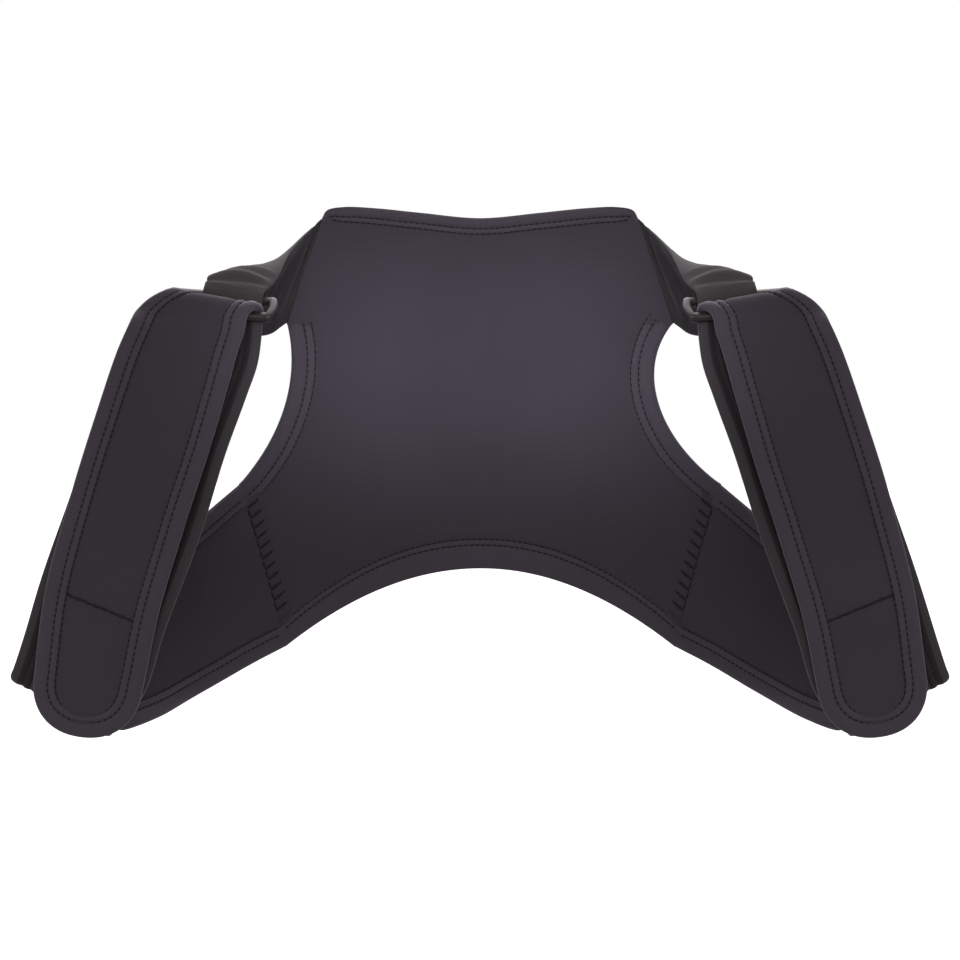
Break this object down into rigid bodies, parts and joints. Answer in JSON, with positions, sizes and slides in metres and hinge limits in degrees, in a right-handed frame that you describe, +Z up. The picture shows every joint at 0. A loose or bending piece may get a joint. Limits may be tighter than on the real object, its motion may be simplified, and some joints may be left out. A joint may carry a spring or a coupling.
{
  "type": "posture corrector",
  "caption": "Neoprene posture corrector in its worn form: a back panel with shoulder tabs, moulded rings and bound straps that fold at the bottom, climb to the rings and fasten in front.",
  "frame": {"origin": "middle of the line between the two shoulders that it hangs on", "axes": "+X across the wearer, +Y towards the wearer's back, +Z up"},
  "size_m": [0.4988, 0.1534, 0.2837],
  "materials": {
    "neoprene": "black neoprene faced with a fine knit, slightly purple on the skin side",
    "binding": "folded strip of the same knit, stitched along its border",
    "ring": "moulded grey plastic, satin",
    "hook_tape": "black hook tape"
  },
  "bodies": {
    "root": {"back_panel": "neoprene", "binding_top": "binding", "binding_bottom": "binding", "binding_armhole_right": "binding", "shoulder_tab_right": "neoprene", "ring_right": "ring", "strap_right": "neoprene", "strap_binding_right": "binding", "hook_patch_right": "hook_tape", "binding_armhole_left": "binding", "shoulder_tab_left": "neoprene", "ring_left": "ring", "strap_left": "neoprene", "strap_binding_left": "binding", "hook_patch_left": "hook_tape"}
  },
  "joints": []
}
